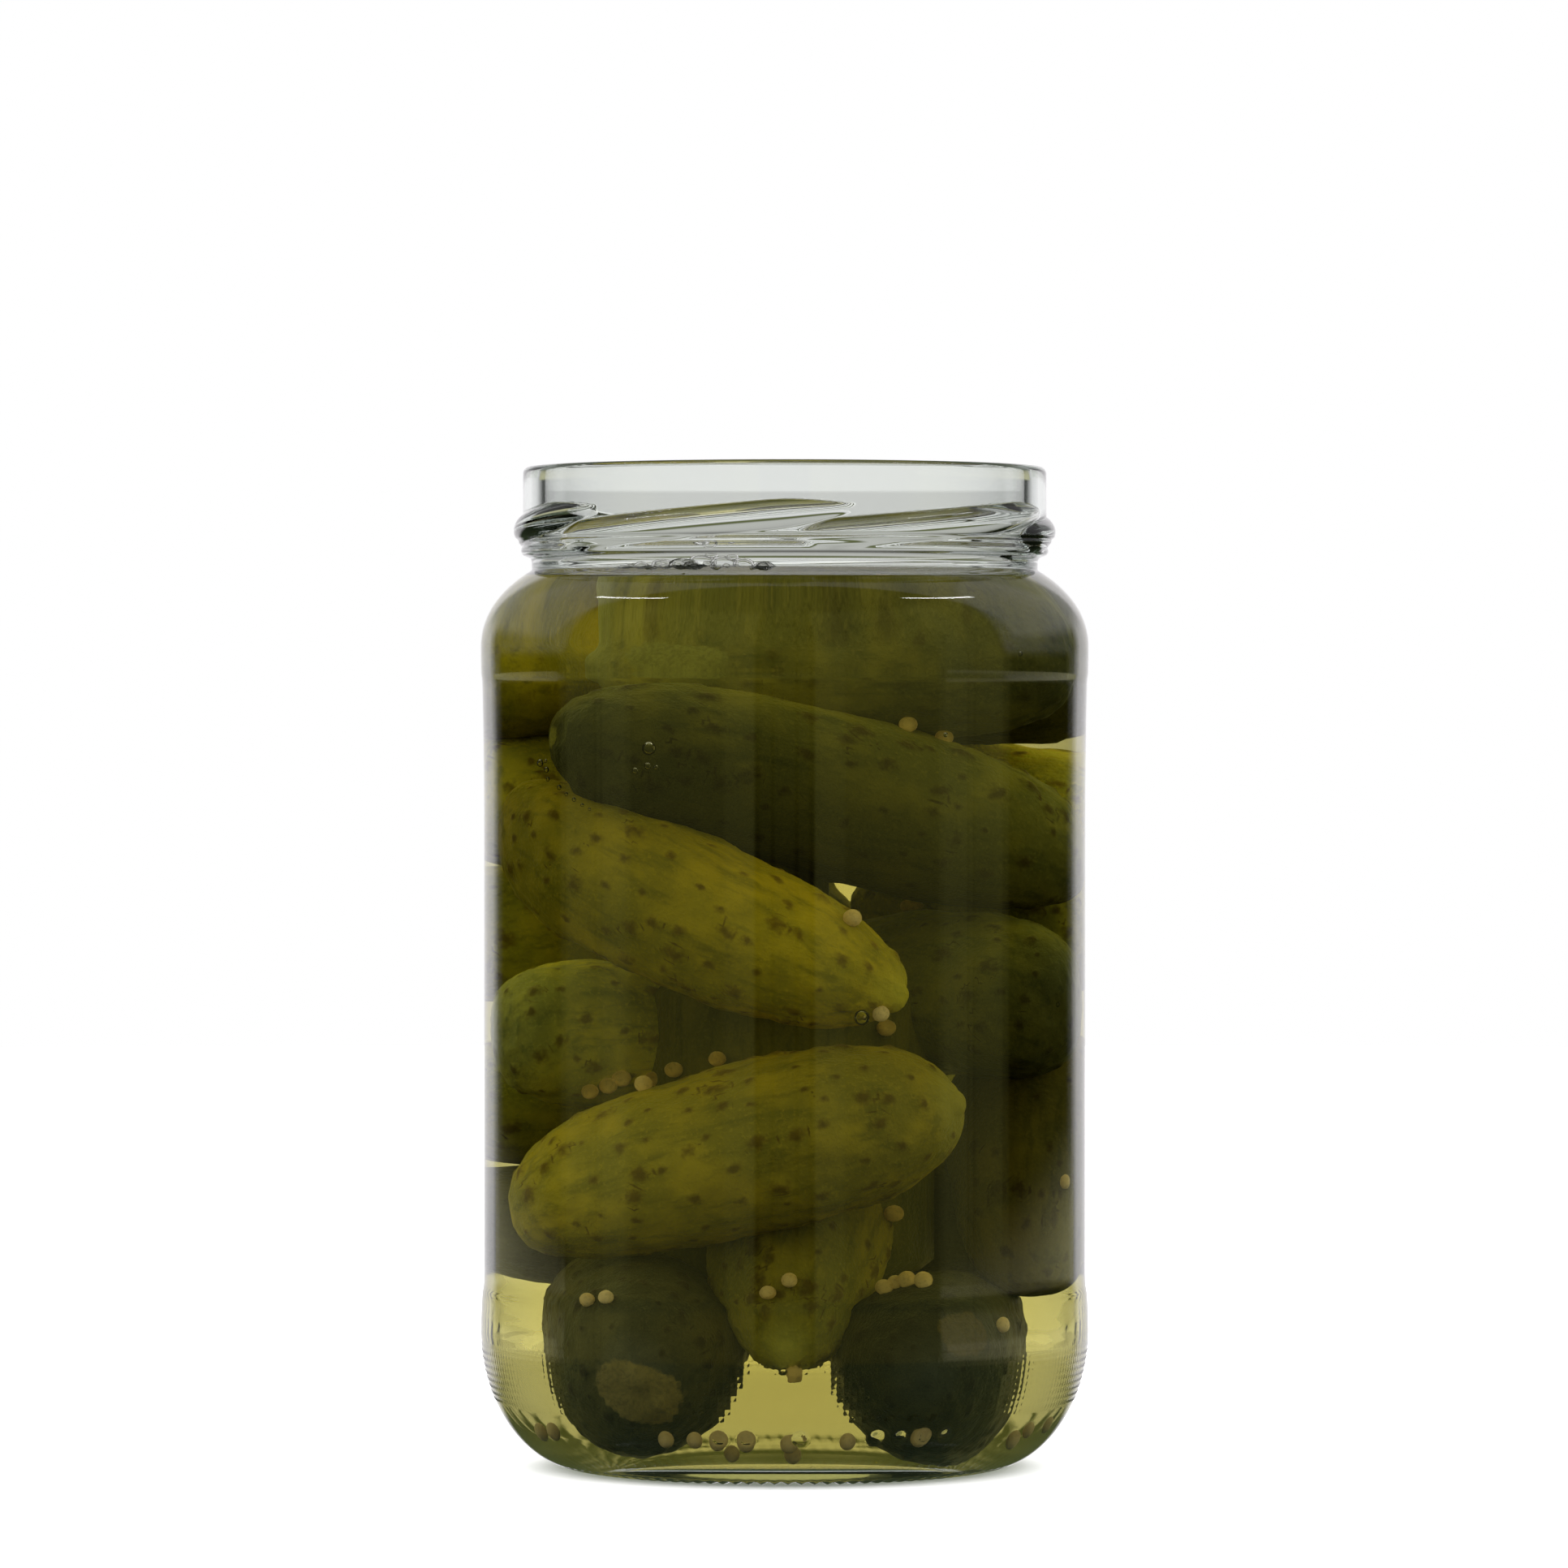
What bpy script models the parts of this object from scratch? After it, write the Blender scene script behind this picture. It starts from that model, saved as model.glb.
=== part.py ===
# A twist-off glass jar of gherkins in brine, without its lid.
# Origin: centre of the jar's base, on the surface it stands on. +Z up, -Y is the front.
# Two solids: the glass jar with its six thread starts, and the heap of gherkins with the
# mustard seeds that lie on them. Lengths are in metres, written as millimetres times mm.

import math
import random

import bmesh
import bpy
from mathutils import Matrix, Vector
from mathutils.bvhtree import BVHTree

mm = 0.001

# Jar, outside
JAR_HEIGHT = 151.2 * mm
BODY_RADIUS = 45.5 * mm          # label panel between the two rings
RING_RADIUS = 46.0 * mm          # the bulges above and below the panel
LOWER_RING_HEIGHT = 21.3 * mm    # widest level of the lower bulge
LOWER_RING_TOP = 29.5 * mm
UPPER_RING_HEIGHT = 123.9 * mm
UPPER_RING_BOTTOM = 117.5 * mm
NECK_RADIUS = 38.3 * mm
NECK_HEIGHT = 135.6 * mm
BEAD_RADIUS = 39.9 * mm          # transfer bead under the thread
BEAD_HEIGHT = 138.5 * mm
FINISH_RADIUS = 39.6 * mm        # glass cylinder that carries the thread
RIM_ROUND = 1.0 * mm

# Jar, inside and underneath
MOUTH_RADIUS = 36.3 * mm
CAVITY_RADIUS = 43.1 * mm
FLOOR_HEIGHT = 4.6 * mm
FLOOR_RISE = 1.2 * mm            # the floor is higher in the middle
FOOT_INNER_RADIUS = 28.5 * mm    # flat ring that the jar stands on
FOOT_OUTER_RADIUS = 31.0 * mm
PUSH_UP = 2.4 * mm
JAR_SEGMENTS = 48

# Thread: six starts of a right-hand screw
THREAD_STARTS = 6
THREAD_FIRST_ANGLE = -57.0       # degrees from the front, towards +X
THREAD_SPAN = 72.0               # degrees that each start covers
THREAD_LOW = 139.9 * mm
THREAD_HIGH = 144.1 * mm
THREAD_PROUD = 1.4 * mm
THREAD_ROUND = 2.1 * mm          # radius of the ridge's round section
THREAD_POINTS = 12

# Gherkins, in mm: stem end, blossom end, half thickness, how far the middle bows out, and the taper,
# the share by which the stem end is thinner and the blossom end thicker.
# The jar's cavity is 86 mm across, so each lies within 42 mm of the axis.
GHERKINS = {
    "topFront": ((40, -10, 121.3), (-22, -1, 121.5), 11.0, (0, 0, 0), 0.05),
    "topLeft": ((-39, -3, 119.5), (-16, 30, 120.5), 10.2, (0, 0, 0), 0.05),
    "topBack": ((38, 8, 119), (-6, 28.5, 121.5), 10.5, (0, 0, 0), 0.05),
    "upperFront": ((-31.5, -22, 111.3), (38.5, 4, 90.5), 12.3, (-2, -4.5, 2.6), 0.05),
    "upperBackLeft": ((-38, 5, 101.5), (-6, 28, 97), 10.8, (0, 0, 1), 0.05),
    "upperBackRight": ((34, 17, 98), (-3, 32, 106), 10.2, (0, 0, -1.5), 0.05),
    "middleFront": ((-38, -7, 99.5), (15.4, -30.5, 71.8), 11.4, (-2, -4.5, -0.6), -0.10),
    "middleLeft": ((-38.5, -12, 66), (-3, 15, 66), 11.0, (0, 0, 0), 0.05),
    "middleRight": ((37.5, -14, 69.5), (5, 22, 73), 12.2, (0, 0, 0), 0.05),
    "middleBackLeft": ((-37.8, 11, 77.5), (5, 32.5, 84), 11.0, (0, 0, 1), 0.05),
    "middleBackRight": ((36.5, 10, 79), (8.5, 30.5, 86.5), 10.0, (0, 0, 0), 0.05),
    "backLow": ((-36, 15, 36.5), (32, 23, 39), 11.0, (0, 4.5, -1.5), 0.05),
    "backMiddle": ((-37.5, 13, 52.5), (16, 34.5, 63), 10.8, (0, 0, -1), 0.05),
    "lowerFront": ((-38, -12, 39), (23.5, -26, 56.5), 12.4, (0, -5, 1.2), 0.07),
    "lowerRight": ((31.5, -6, 26), (25, 18, 64), 11.0, (1, -2, 0), 0.05),
    "bottomLeft": ((-14, 14, 25), (-21, -34.6, 16.5), 12.8, (0, 0, 0), 0.05),
    "bottomMiddle": ((3.8, 12, 54.5), (0.2, -30, 19.4), 11.2, (0, 0, 0), -0.12),
    "bottomRight": ((16, 13, 20), (19.6, -35.5, 17.3), 12.0, (0, 0, 0), 0.05),
}
GHERKIN_SIDES = 14
GHERKIN_RINGS = 11
GHERKIN_BLUNTNESS = 3.0          # 2 would be an ellipse, more is blunter
GHERKIN_LOBES = 0.025            # three rounded sides, as a gherkin's section has

# Core of the heap: a plain turned lump in the middle, with a waist where light passes the real heap
CORE_OUTLINE = (                 # radius and height in mm
    (6, 114), (17, 109), (19, 96), (5, 90), (5, 81), (17, 72), (17, 32), (10, 25),
)
CORE_SEGMENTS = 10

# Mustard seeds that lie on the gherkins. Those at the front are given by X and height in mm.
SEED_RADIUS = 1.2 * mm
SEED_SUNK = 0.35                 # share of its radius that a seed is sunk in
FRONT_SEEDS = (
    (15.3, 113.1), (19.4, 111.2),
    (8.8, 83.3), (13.5, 84.7), (12.8, 70.2), (12.0, 67.1),
    (-24.2, 57.9), (-21.9, 58.8), (-20.2, 59.8), (-18.3, 58.3), (-15.9, 59.6), (-12.9, 60.8),
    (-8.1, 62.6),
    (12.7, 39.4), (13.2, 28.2), (14.6, 28.9), (16.2, 29.3), (18.6, 29.4),
    (-27.1, 26.4), (-24.5, 27.1), (-31.2, 20.3), (-1.8, 28.4), (0.7, 30.2), (0.9, 17.9),
    (25.2, 22.3), (27.7, 21.2), (29.3, 23.0),
)
OTHER_SEEDS = 14                 # round the sides and the back, by degrees from the front and height
OTHER_SEED_ANGLES = (75.0, 285.0)
OTHER_SEED_HEIGHTS = (30.0, 118.0)
SEED_DRAW = 7
WALL_CLEARANCE = 0.5 * mm        # what lies in the jar keeps this far from its glass


def clearScene():
    for old in list(bpy.data.objects):
        bpy.data.objects.remove(old, do_unlink=True)


def newCollection(name):
    made = bpy.data.collections.new(name)
    bpy.context.scene.collection.children.link(made)
    return made


def principled(name, color, roughness, transmission=0.0):
    material = bpy.data.materials.new(name)
    material.use_nodes = True
    shader = material.node_tree.nodes["Principled BSDF"]
    shader.inputs["Base Color"].default_value = (*color, 1.0)
    shader.inputs["Roughness"].default_value = roughness
    shader.inputs["Metallic"].default_value = 0.0
    shader.inputs["Transmission Weight"].default_value = transmission
    return material


def meshObject(name, mesh, collection):
    made = bpy.data.objects.new(name, mesh)
    collection.objects.link(made)
    return made


def applied(source, name, collection):
    # a new plain object with the shape that the modifiers or the curve give; the source goes
    bpy.context.view_layer.update()
    evaluated = source.evaluated_get(bpy.context.evaluated_depsgraph_get())
    mesh = bpy.data.meshes.new_from_object(evaluated)
    made = meshObject(name, mesh, collection)
    made.matrix_world = source.matrix_world.copy()
    bpy.data.objects.remove(source, do_unlink=True)
    return made


def shadeByAngle(obj, degrees):
    obj.data.shade_smooth()
    obj.data.set_sharp_from_angle(angle=math.radians(degrees))


def ellipseArc(center, radii, start, end, steps):
    # points (radius, height) from one angle to the other, in degrees
    points = []
    for i in range(steps + 1):
        angle = math.radians(start + (end - start) * i / steps)
        points.append((center[0] + radii[0] * math.cos(angle), center[1] + radii[1] * math.sin(angle)))
    return points


def bezierArc(first, firstHandle, lastHandle, last, steps):
    points = []
    for i in range(steps + 1):
        t = i / steps
        weights = ((1 - t) ** 3, 3 * t * (1 - t) ** 2, 3 * t * t * (1 - t), t ** 3)
        corners = (first, firstHandle, lastHandle, last)
        points.append(tuple(sum(w * c[k] for w, c in zip(weights, corners)) for k in (0, 1)))
    return points


def cavityOutline():
    # from the middle of the floor up the inner wall to the mouth
    heelCenter = (31.0 * mm, FLOOR_HEIGHT + 15.5 * mm)
    heel = ellipseArc(heelCenter, (CAVITY_RADIUS - heelCenter[0], 15.5 * mm), -90, 0, 6)
    shoulder = bezierArc(
        (CAVITY_RADIUS, UPPER_RING_HEIGHT - 2 * mm),
        (CAVITY_RADIUS, 129.5 * mm),
        (39.0 * mm, 131.2 * mm),
        (MOUTH_RADIUS, NECK_HEIGHT + 0.6 * mm),
        6,
    )
    outline = [(0.0, FLOOR_HEIGHT + FLOOR_RISE), (17.0 * mm, FLOOR_HEIGHT + 0.7 * FLOOR_RISE)]
    outline += heel + shoulder
    outline.append((MOUTH_RADIUS, JAR_HEIGHT - RIM_ROUND))
    return outline


def outsideOutline():
    # from the rim down the outer wall to the middle of the underside
    top = JAR_HEIGHT
    rim = [(MOUTH_RADIUS + 0.8 * mm, top)]
    rim += ellipseArc((FINISH_RADIUS - RIM_ROUND, top - RIM_ROUND), (RIM_ROUND, RIM_ROUND), 90, 0, 3)
    bead = [
        (FINISH_RADIUS - 0.15 * mm, BEAD_HEIGHT + 1.4 * mm),
        (BEAD_RADIUS, BEAD_HEIGHT + 0.4 * mm),
        (BEAD_RADIUS, BEAD_HEIGHT - 0.3 * mm),
        (NECK_RADIUS, BEAD_HEIGHT - 0.9 * mm),
    ]
    shoulder = bezierArc(
        (NECK_RADIUS, NECK_HEIGHT),
        (41.6 * mm, 133.6 * mm),
        (RING_RADIUS, 130.0 * mm),
        (RING_RADIUS, UPPER_RING_HEIGHT),
        8,
    )
    panel = [
        (RING_RADIUS - 0.15 * mm, UPPER_RING_HEIGHT - 3.0 * mm),
        (BODY_RADIUS, UPPER_RING_BOTTOM),
        (BODY_RADIUS, LOWER_RING_TOP),
        (RING_RADIUS - 0.1 * mm, LOWER_RING_TOP - 3.0 * mm),
    ]
    heelRadii = (RING_RADIUS - FOOT_OUTER_RADIUS, LOWER_RING_HEIGHT)
    heel = ellipseArc((FOOT_OUTER_RADIUS, LOWER_RING_HEIGHT), heelRadii, 0, -90, 9)
    underside = [
        (FOOT_INNER_RADIUS, 0.0),
        (FOOT_INNER_RADIUS - 1.5 * mm, 1.0 * mm),
        (17.0 * mm, 0.85 * PUSH_UP),
        (0.0, PUSH_UP),
    ]
    return rim + bead + shoulder + panel + heel + underside


def turned(name, outline, segments, collection):
    mesh = bpy.data.meshes.new(name)
    points = [(radius, 0.0, height) for radius, height in outline]
    mesh.from_pydata(points, [(i, i + 1) for i in range(len(points) - 1)], [])
    obj = meshObject(name, mesh, collection)
    screw = obj.modifiers.new("turn", "SCREW")
    screw.axis = "Z"
    screw.angle = 2 * math.pi
    screw.steps = screw.render_steps = segments
    screw.use_merge_vertices = True
    screw.merge_threshold = 0.0001 * mm
    return obj


def threadRidge(index, collection):
    # one start: a round bar along the helix, half sunk in the glass, thin at both ends
    curve = bpy.data.curves.new("thread", "CURVE")
    curve.dimensions = "3D"
    curve.bevel_depth = THREAD_ROUND
    curve.bevel_resolution = 2
    curve.use_fill_caps = True
    spline = curve.splines.new("POLY")
    spline.points.add(THREAD_POINTS - 1)
    radius = FINISH_RADIUS + THREAD_PROUD - THREAD_ROUND
    for i, point in enumerate(spline.points):
        t = i / (THREAD_POINTS - 1)
        degrees = THREAD_FIRST_ANGLE + index * 360 / THREAD_STARTS + THREAD_SPAN * t
        angle = math.radians(degrees)
        height = THREAD_LOW + (THREAD_HIGH - THREAD_LOW) * t
        point.co = (radius * math.sin(angle), -radius * math.cos(angle), height, 1.0)
        point.radius = min(1.0, 0.45 + 4.0 * min(t, 1 - t))
    bar = meshObject("thread_%d" % index, curve, collection)
    bar = applied(bar, "thread_%d" % index, collection)
    welded = bmesh.new()
    welded.from_mesh(bar.data)
    bmesh.ops.remove_doubles(welded, verts=welded.verts, dist=0.001 * mm)
    welded.to_mesh(bar.data)
    welded.free()
    return bar


def outermostShell(obj):
    # keeps the largest shell, so that a sealed hollow is filled and a loose scrap dropped
    work = bmesh.new()
    work.from_mesh(obj.data)
    bmesh.ops.dissolve_degenerate(work, edges=work.edges, dist=0.01 * mm)
    bmesh.ops.triangulate(work, faces=work.faces)
    work.verts.ensure_lookup_table()
    unseen = set(work.verts)
    shells = []
    while unseen:
        shell = set()
        front = [unseen.pop()]
        while front:
            vert = front.pop()
            shell.add(vert)
            for edge in vert.link_edges:
                other = edge.other_vert(vert)
                if other in unseen:
                    unseen.remove(other)
                    front.append(other)
        shells.append(shell)
    shells.sort(key=len, reverse=True)
    for shell in shells[1:]:
        bmesh.ops.delete(work, geom=list(shell), context="VERTS")
    work.to_mesh(obj.data)
    work.free()


def fuse(base, pieces, name, collection):
    union = base.modifiers.new("union", "BOOLEAN")
    union.operation = "UNION"
    union.operand_type = "COLLECTION"
    union.collection = pieces
    union.solver = "EXACT"
    fused = applied(base, name, collection)
    for used in list(pieces.objects):
        bpy.data.objects.remove(used, do_unlink=True)
    bpy.data.collections.remove(pieces)
    outermostShell(fused)
    return fused


def buildJar(collection, material):
    body = turned("body", cavityOutline() + outsideOutline(), JAR_SEGMENTS, collection)
    threads = newCollection("threads")
    for index in range(THREAD_STARTS):
        threadRidge(index, threads)
    jar = fuse(body, threads, "jar", collection)
    jar.data.materials.clear()
    jar.data.materials.append(material)
    shadeByAngle(jar, 40)
    return jar


def gherkin(name, stem, blossom, girth, bow, taper, phase, collection):
    # a sphere drawn out along its axis, blunter than an ellipse and bowed in the middle
    work = bmesh.new()
    bmesh.ops.create_uvsphere(work, u_segments=GHERKIN_SIDES, v_segments=GHERKIN_RINGS, radius=1.0)
    stem = Vector(stem) * mm
    axis = Vector(blossom) * mm - stem
    turn = axis.to_track_quat("Z", "Y").to_matrix()
    middle = stem + axis / 2
    for vert in work.verts:
        along = max(-1.0, min(1.0, vert.co.z))
        around = math.atan2(vert.co.y, vert.co.x)
        width = math.sqrt(max(0.0, 1 - abs(along) ** GHERKIN_BLUNTNESS))
        width *= 1 + taper * along
        width *= 1 + GHERKIN_LOBES * math.cos(3 * around + phase)
        side = Vector((math.cos(around), math.sin(around), 0)) * girth * mm * width
        vert.co = middle + turn @ side + axis * along / 2 + Vector(bow) * mm * (1 - along * along)
    mesh = bpy.data.meshes.new(name)
    work.to_mesh(mesh)
    work.free()
    return meshObject(name, mesh, collection)


def seedPaths():
    # where each seed starts at the glass, and the level way it goes in from there
    draw = random.Random(SEED_DRAW)
    paths = []
    for x, height in FRONT_SEEDS:
        paths.append((Vector((x * mm, -CAVITY_RADIUS, height * mm)), Vector((0, 1, 0))))
    for i in range(OTHER_SEEDS):
        share = (i + draw.random()) / OTHER_SEEDS
        angle = OTHER_SEED_ANGLES[0] + share * (OTHER_SEED_ANGLES[1] - OTHER_SEED_ANGLES[0])
        out = Vector((math.sin(math.radians(angle)), -math.cos(math.radians(angle)), 0))
        height = draw.uniform(*OTHER_SEED_HEIGHTS) * mm
        paths.append((out * CAVITY_RADIUS + Vector((0, 0, height)), -out))
    return paths


def addSeeds(heap, collection):
    # each seed goes in until it meets a gherkin, and is sunk in it a little
    reach = CAVITY_RADIUS - SEED_RADIUS - WALL_CLEARANCE
    surface = BVHTree.FromObject(heap, bpy.context.evaluated_depsgraph_get())
    for start, inward in seedPaths():
        place, normal = surface.ray_cast(start, inward)[:2]
        if place is None:
            continue
        center = place + normal * SEED_RADIUS * (1 - SEED_SUNK)
        if Vector(center.xy).length > reach:
            continue
        work = bmesh.new()
        bmesh.ops.create_uvsphere(
            work, u_segments=6, v_segments=4, radius=SEED_RADIUS, matrix=Matrix.Translation(center)
        )
        mesh = bpy.data.meshes.new("seed")
        work.to_mesh(mesh)
        work.free()
        meshObject("seed", mesh, collection)


def buildGherkins(collection, material):
    pieces = newCollection("gherkinPieces")
    for index, (name, place) in enumerate(GHERKINS.items()):
        gherkin(name, *place, phase=index * 1.7, collection=pieces)
    outline = [(0.0, CORE_OUTLINE[0][1] * mm)]
    outline += [(radius * mm, height * mm) for radius, height in CORE_OUTLINE]
    outline.append((0.0, CORE_OUTLINE[-1][1] * mm))
    core = turned("core", outline, CORE_SEGMENTS, collection)
    bare = fuse(core, pieces, "bare", collection)
    bpy.context.view_layer.update()
    seeds = newCollection("seeds")
    addSeeds(bare, seeds)
    heap = fuse(bare, seeds, "gherkins", collection)
    heap.data.materials.clear()
    heap.data.materials.append(material)
    shadeByAngle(heap, 60)
    return heap


clearScene()
parts = newCollection("twistOffJar")
buildJar(parts, principled("clearGlass", (0.93, 0.96, 0.94), 0.03, 1.0))
buildGherkins(parts, principled("gherkinSkin", (0.16, 0.17, 0.02), 0.35))
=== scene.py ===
import math
import random

import bmesh
import bpy
import numpy as np
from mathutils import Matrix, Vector, noise
from mathutils.bvhtree import BVHTree
from mathutils.kdtree import KDTree


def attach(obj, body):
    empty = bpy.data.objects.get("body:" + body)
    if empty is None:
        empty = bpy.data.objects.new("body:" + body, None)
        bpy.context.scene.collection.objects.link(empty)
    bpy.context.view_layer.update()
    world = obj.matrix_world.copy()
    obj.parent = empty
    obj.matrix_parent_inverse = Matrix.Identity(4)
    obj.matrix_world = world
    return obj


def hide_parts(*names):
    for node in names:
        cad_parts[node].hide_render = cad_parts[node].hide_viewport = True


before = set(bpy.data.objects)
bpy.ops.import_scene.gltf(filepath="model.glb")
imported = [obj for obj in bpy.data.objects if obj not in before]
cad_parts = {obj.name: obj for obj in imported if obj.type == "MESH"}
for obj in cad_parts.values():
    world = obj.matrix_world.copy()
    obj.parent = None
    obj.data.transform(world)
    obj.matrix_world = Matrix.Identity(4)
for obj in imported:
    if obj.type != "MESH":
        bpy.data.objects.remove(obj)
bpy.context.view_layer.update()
scene = bpy.context.scene
mm = 0.001
print("frame loaded")


# small helpers for meshes, nodes and finished pieces

def feed(node, name, value):
    # links the input to a socket, or sets it to a value
    if isinstance(value, bpy.types.NodeSocket):
        node.id_data.links.new(value, node.inputs[name])
    else:
        node.inputs[name].default_value = value


def addNode(tree, kind, values=(), **settings):
    # values go into the node's inputs in their order
    made = tree.nodes.new(kind)
    for key, value in settings.items():
        setattr(made, key, value)
    for i, value in enumerate(values):
        if value is not None:
            feed(made, i, value)
    return made


def treeOf(*values):
    # the node tree of the first socket among the values
    return next(value.id_data for value in values if isinstance(value, bpy.types.NodeSocket))


def calc(operation, *values):
    return addNode(treeOf(*values), "ShaderNodeMath", values, operation=operation).outputs[0]


def axes(vector):
    return addNode(vector.id_data, "ShaderNodeSeparateXYZ", (vector,)).outputs


def times(value, *factors):
    for factor in factors:
        value = calc("MULTIPLY", value, factor)
    return value


def minus(value, less):
    return calc("SUBTRACT", value, less)


def ease(value, low, high, toLow=0.0, toHigh=1.0):
    # a smooth step between two levels
    values = (value, low, high, toLow, toHigh)
    return addNode(value.id_data, "ShaderNodeMapRange", values, interpolation_type="SMOOTHSTEP").outputs[0]


def vectorNode(operation, *vectors):
    return addNode(vectors[0].id_data, "ShaderNodeVectorMath", vectors, operation=operation)


def vectorLength(vector):
    return vectorNode("LENGTH", vector).outputs["Value"]


def scaled(vector, factor):
    made = vectorNode("SCALE", vector)
    feed(made, "Scale", factor)
    return made.outputs[0]


def mixed(factor, a, b, blend="MIX"):
    tree = treeOf(factor, a, b)
    made = addNode(tree, "ShaderNodeMix", (factor,), data_type="RGBA", blend_type=blend)
    for socket, color in ((6, a), (7, b)):
        feed(made, socket, color if isinstance(color, bpy.types.NodeSocket) else (*color, 1.0))
    return made.outputs[2]


def faded(value, between, a, b):
    return mixed(ease(value, *between), a, b)


def tinted(color, factor):
    return mixed(1.0, color, factor, "MULTIPLY")


def noiseLevel(place, scale, detail, roughness=0.5):
    return addNode(place.id_data, "ShaderNodeTexNoise", (place, None, scale, detail, roughness)).outputs[0]


def pointValue(tree, name):
    return addNode(tree, "GeometryNodeInputNamedAttribute", (name,), data_type="FLOAT").outputs["Attribute"]


def newMaterial(name):
    material = bpy.data.materials.new(name)
    material.use_nodes = True
    tree = material.node_tree
    return material, tree, tree.nodes["Principled BSDF"], tree.nodes["Material Output"]


def meshObject(name, verts, faces, material=None):
    mesh = bpy.data.meshes.new(name)
    mesh.from_pydata([tuple(v) for v in verts], [], faces)
    mesh.validate()
    obj = bpy.data.objects.new(name, mesh)
    scene.collection.objects.link(obj)
    if material:
        mesh.materials.append(material)
    mesh.shade_smooth()
    return obj


def applied(obj):
    # the evaluated shape becomes the object's own mesh, and its modifiers go
    bpy.context.view_layer.update()
    evaluated = obj.evaluated_get(bpy.context.evaluated_depsgraph_get())
    mesh = bpy.data.meshes.new_from_object(evaluated)
    mesh.name = obj.name
    obj.modifiers.clear()
    obj.data = mesh
    return obj


def joined(obj, others):
    work = bmesh.new()
    work.from_mesh(obj.data)
    for other in others:
        work.from_mesh(other.data)
        bpy.data.objects.remove(other, do_unlink=True)
    work.to_mesh(obj.data)
    work.free()
    return obj


def dressed(obj, node):
    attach(obj, "root")
    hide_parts(node)


def addInput(group, name, kind, value=None):
    socket = group.interface.new_socket(name, in_out="INPUT", socket_type=kind)
    if value is not None and hasattr(socket, "default_value"):
        socket.default_value = value
    return socket


def shaped(obj, group, values):
    # runs a node tree on the object with the named values, and keeps the result
    modifier = obj.modifiers.new(group.name, "NODES")
    modifier.node_group = group
    for item in group.interface.items_tree:
        if item.item_type == "SOCKET" and item.in_out == "INPUT" and item.name in values:
            modifier[item.identifier] = values[item.name]
    return applied(obj)


def newGroup(name):
    group = bpy.data.node_groups.new(name, "GeometryNodeTree")
    group.is_modifier = True
    group.interface.new_socket("Geometry", in_out="INPUT", socket_type="NodeSocketGeometry")
    group.interface.new_socket("Geometry", in_out="OUTPUT", socket_type="NodeSocketGeometry")
    return group


def ellipseArc(center, radii, start, end, steps):
    points = []
    for i in range(steps + 1):
        angle = math.radians(start + (end - start) * i / steps)
        points.append((center[0] + radii[0] * math.cos(angle), center[1] + radii[1] * math.sin(angle)))
    return points


def bezierArc(first, firstHandle, lastHandle, last, steps):
    points = []
    for i in range(steps + 1):
        t = i / steps
        weights = ((1 - t) ** 3, 3 * t * (1 - t) ** 2, 3 * t * t * (1 - t), t ** 3)
        corners = (first, firstHandle, lastHandle, last)
        points.append(tuple(sum(w * c[k] for w, c in zip(weights, corners)) for k in (0, 1)))
    return points


def turnedShell(rings):
    # rings are (radius, height, columns) in mm from one pole to the other, outer faces outwards.
    # Where the number of columns changes, one is a multiple of the other.
    verts, faces, rows = [], [], []
    for radius, height, columns in rings:
        start = len(verts)
        if radius == 0:
            verts.append((0, 0, height * mm))
            rows.append((start, 1))
            continue
        for i in range(columns):
            angle = 2 * math.pi * i / columns
            verts.append((radius * math.sin(angle) * mm, -radius * math.cos(angle) * mm, height * mm))
        rows.append((start, columns))
    for (a, na), (b, nb) in zip(rows, rows[1:]):
        steps = min(na, nb) if min(na, nb) > 1 else max(na, nb)
        for i in range(steps):
            upper = [a + (i * na // steps + k) % na for k in range(na // steps + 1)] if na > 1 else [a]
            lower = [b + (i * nb // steps + k) % nb for k in range(nb // steps + 1)] if nb > 1 else [b]
            faces.append(lower + upper[::-1])
    return verts, faces, rows


# the jar's outline, in mm

jarShape = {
    "columns": 208, "threadColumns": 416, "stippleColumns": 832, "footColumns": 416,
    "height": 151.2, "rimRound": 1.0, "mouthRadius": 36.3, "cavityRadius": 43.1,
    "floorHeight": 4.6, "floorRise": 1.2, "cornerCenter": 31.0, "cornerRise": 15.5,
    "finishRadius": 39.6, "beadRadius": 39.9, "neckRadius": 38.3,
    "ringRadius": 46.0, "upperRing": 123.9, "lowerRing": 21.3, "bodyRadius": 45.5,
    "threadTop": 146.4, "threadBottom": 139.2, "threadRow": 0.14,
    "stippleTop": 19.5, "stippleBottom": 10.0, "stippleRow": 0.34,
    "footOuter": 31.0, "pushUp": 2.4,
}
floorSlope = ((0, jarShape["floorRise"]), (8, 1.1), (17, 0.84), (25, 0.3))  # radius, height over its edge
# between the two rings: how far the glass stands out from the body radius, and at what height
panelLine = (
    (0.49, 122.4), (0.46, 121), (0.44, 120.2), (0.4, 119.7), (0.32, 119.2), (0.28, 118.8),
    (0.26, 118.2), (0.22, 116.5), (0.16, 113.5), (0.09, 109), (0.03, 104), (0, 98),
    (0, 80), (0, 60), (0, 45), (0, 35), (0, 29.8),
    (0.01, 28.8), (0.04, 28), (0.1, 27.4), (0.2, 26.8), (0.29, 26.2), (0.34, 25.5),
    (0.4, 24.4), (0.46, 22.8), (0.5, 20.6),
)


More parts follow.
